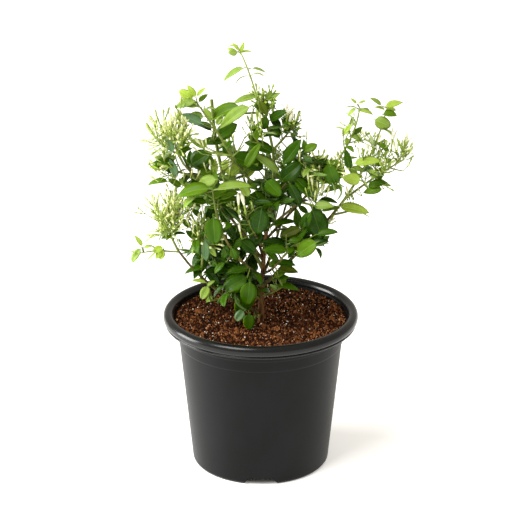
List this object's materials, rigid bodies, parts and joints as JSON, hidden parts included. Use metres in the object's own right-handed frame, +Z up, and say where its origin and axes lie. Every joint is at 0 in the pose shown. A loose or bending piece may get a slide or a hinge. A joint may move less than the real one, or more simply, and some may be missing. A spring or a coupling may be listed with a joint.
{
  "type": "potted juhi jasmine",
  "caption": "Bushy flowering jasmine shrub with opposite leaves and sprays of buds, growing in a round tapered nursery pot filled with potting mix.",
  "frame": {"origin": "centre of the pot's flat underside, on the surface it stands on", "axes": "+Z up along the pot's axis, +X to the right and +Y away as the plant is seen from its front"},
  "size_m": [0.2985, 0.203, 0.4583],
  "materials": {
    "pot_plastic": "satin moulded polypropylene",
    "potting_mix": "loose coir with perlite",
    "bark": "thin brown bark",
    "foliage": "satin green leaves, yellow-green buds and cream flowers"
  },
  "bodies": {
    "root": {"back_high": "foliage", "back_left": "foliage", "back_left_low": "foliage", "back_middle": "foliage", "back_right": "foliage", "bough_back_left": "bark", "bough_back_right": "bark", "bough_centre_front": "bark", "bough_cut_stem": "bark", "bough_front_left": "bark", "bough_front_right": "bark", "bough_leader": "bark", "bough_left_middle": "bark", "bough_low_left": "bark", "bough_right_back": "bark", "bough_right_long": "bark", "bough_right_middle": "bark", "bough_shoulder": "bark", "bough_upper_left": "bark", "centre_front": "foliage", "centre_high": "foliage", "centre_left": "foliage", "crown_left": "foliage", "crown_right": "foliage", "cut_stem_leaves": "foliage", "foot_leaves": "foliage", "front_left_shoot": "foliage", "front_right": "foliage", "leader_left_leaves": "foliage", "left_dark_leaves": "foliage", "left_inner": "foliage", "left_middle_leaves": "foliage", "left_tendril": "foliage", "low_front": "foliage", "low_left_front": "foliage", "low_left_inner": "foliage", "lower_left_cyme": "foliage", "lower_left_leaves": "foliage", "pot": "pot_plastic", "potting_mix": "potting_mix", "right_back_middle": "foliage", "right_base": "foliage", "right_hanging": "foliage", "right_low": "foliage", "right_middle": "foliage", "right_outer": "foliage", "right_outer_low": "foliage", "right_shoot_high": "foliage", "right_shoot_inner": "foliage", "shoulder_right": "foliage", "soil_left_shoot": "foliage", "top_cluster": "foliage", "top_shoot": "foliage", "trunk": "bark", "upper_left_cyme": "foliage", "upper_left_inner": "foliage", "upper_left_tip": "foliage"}
  },
  "joints": []
}
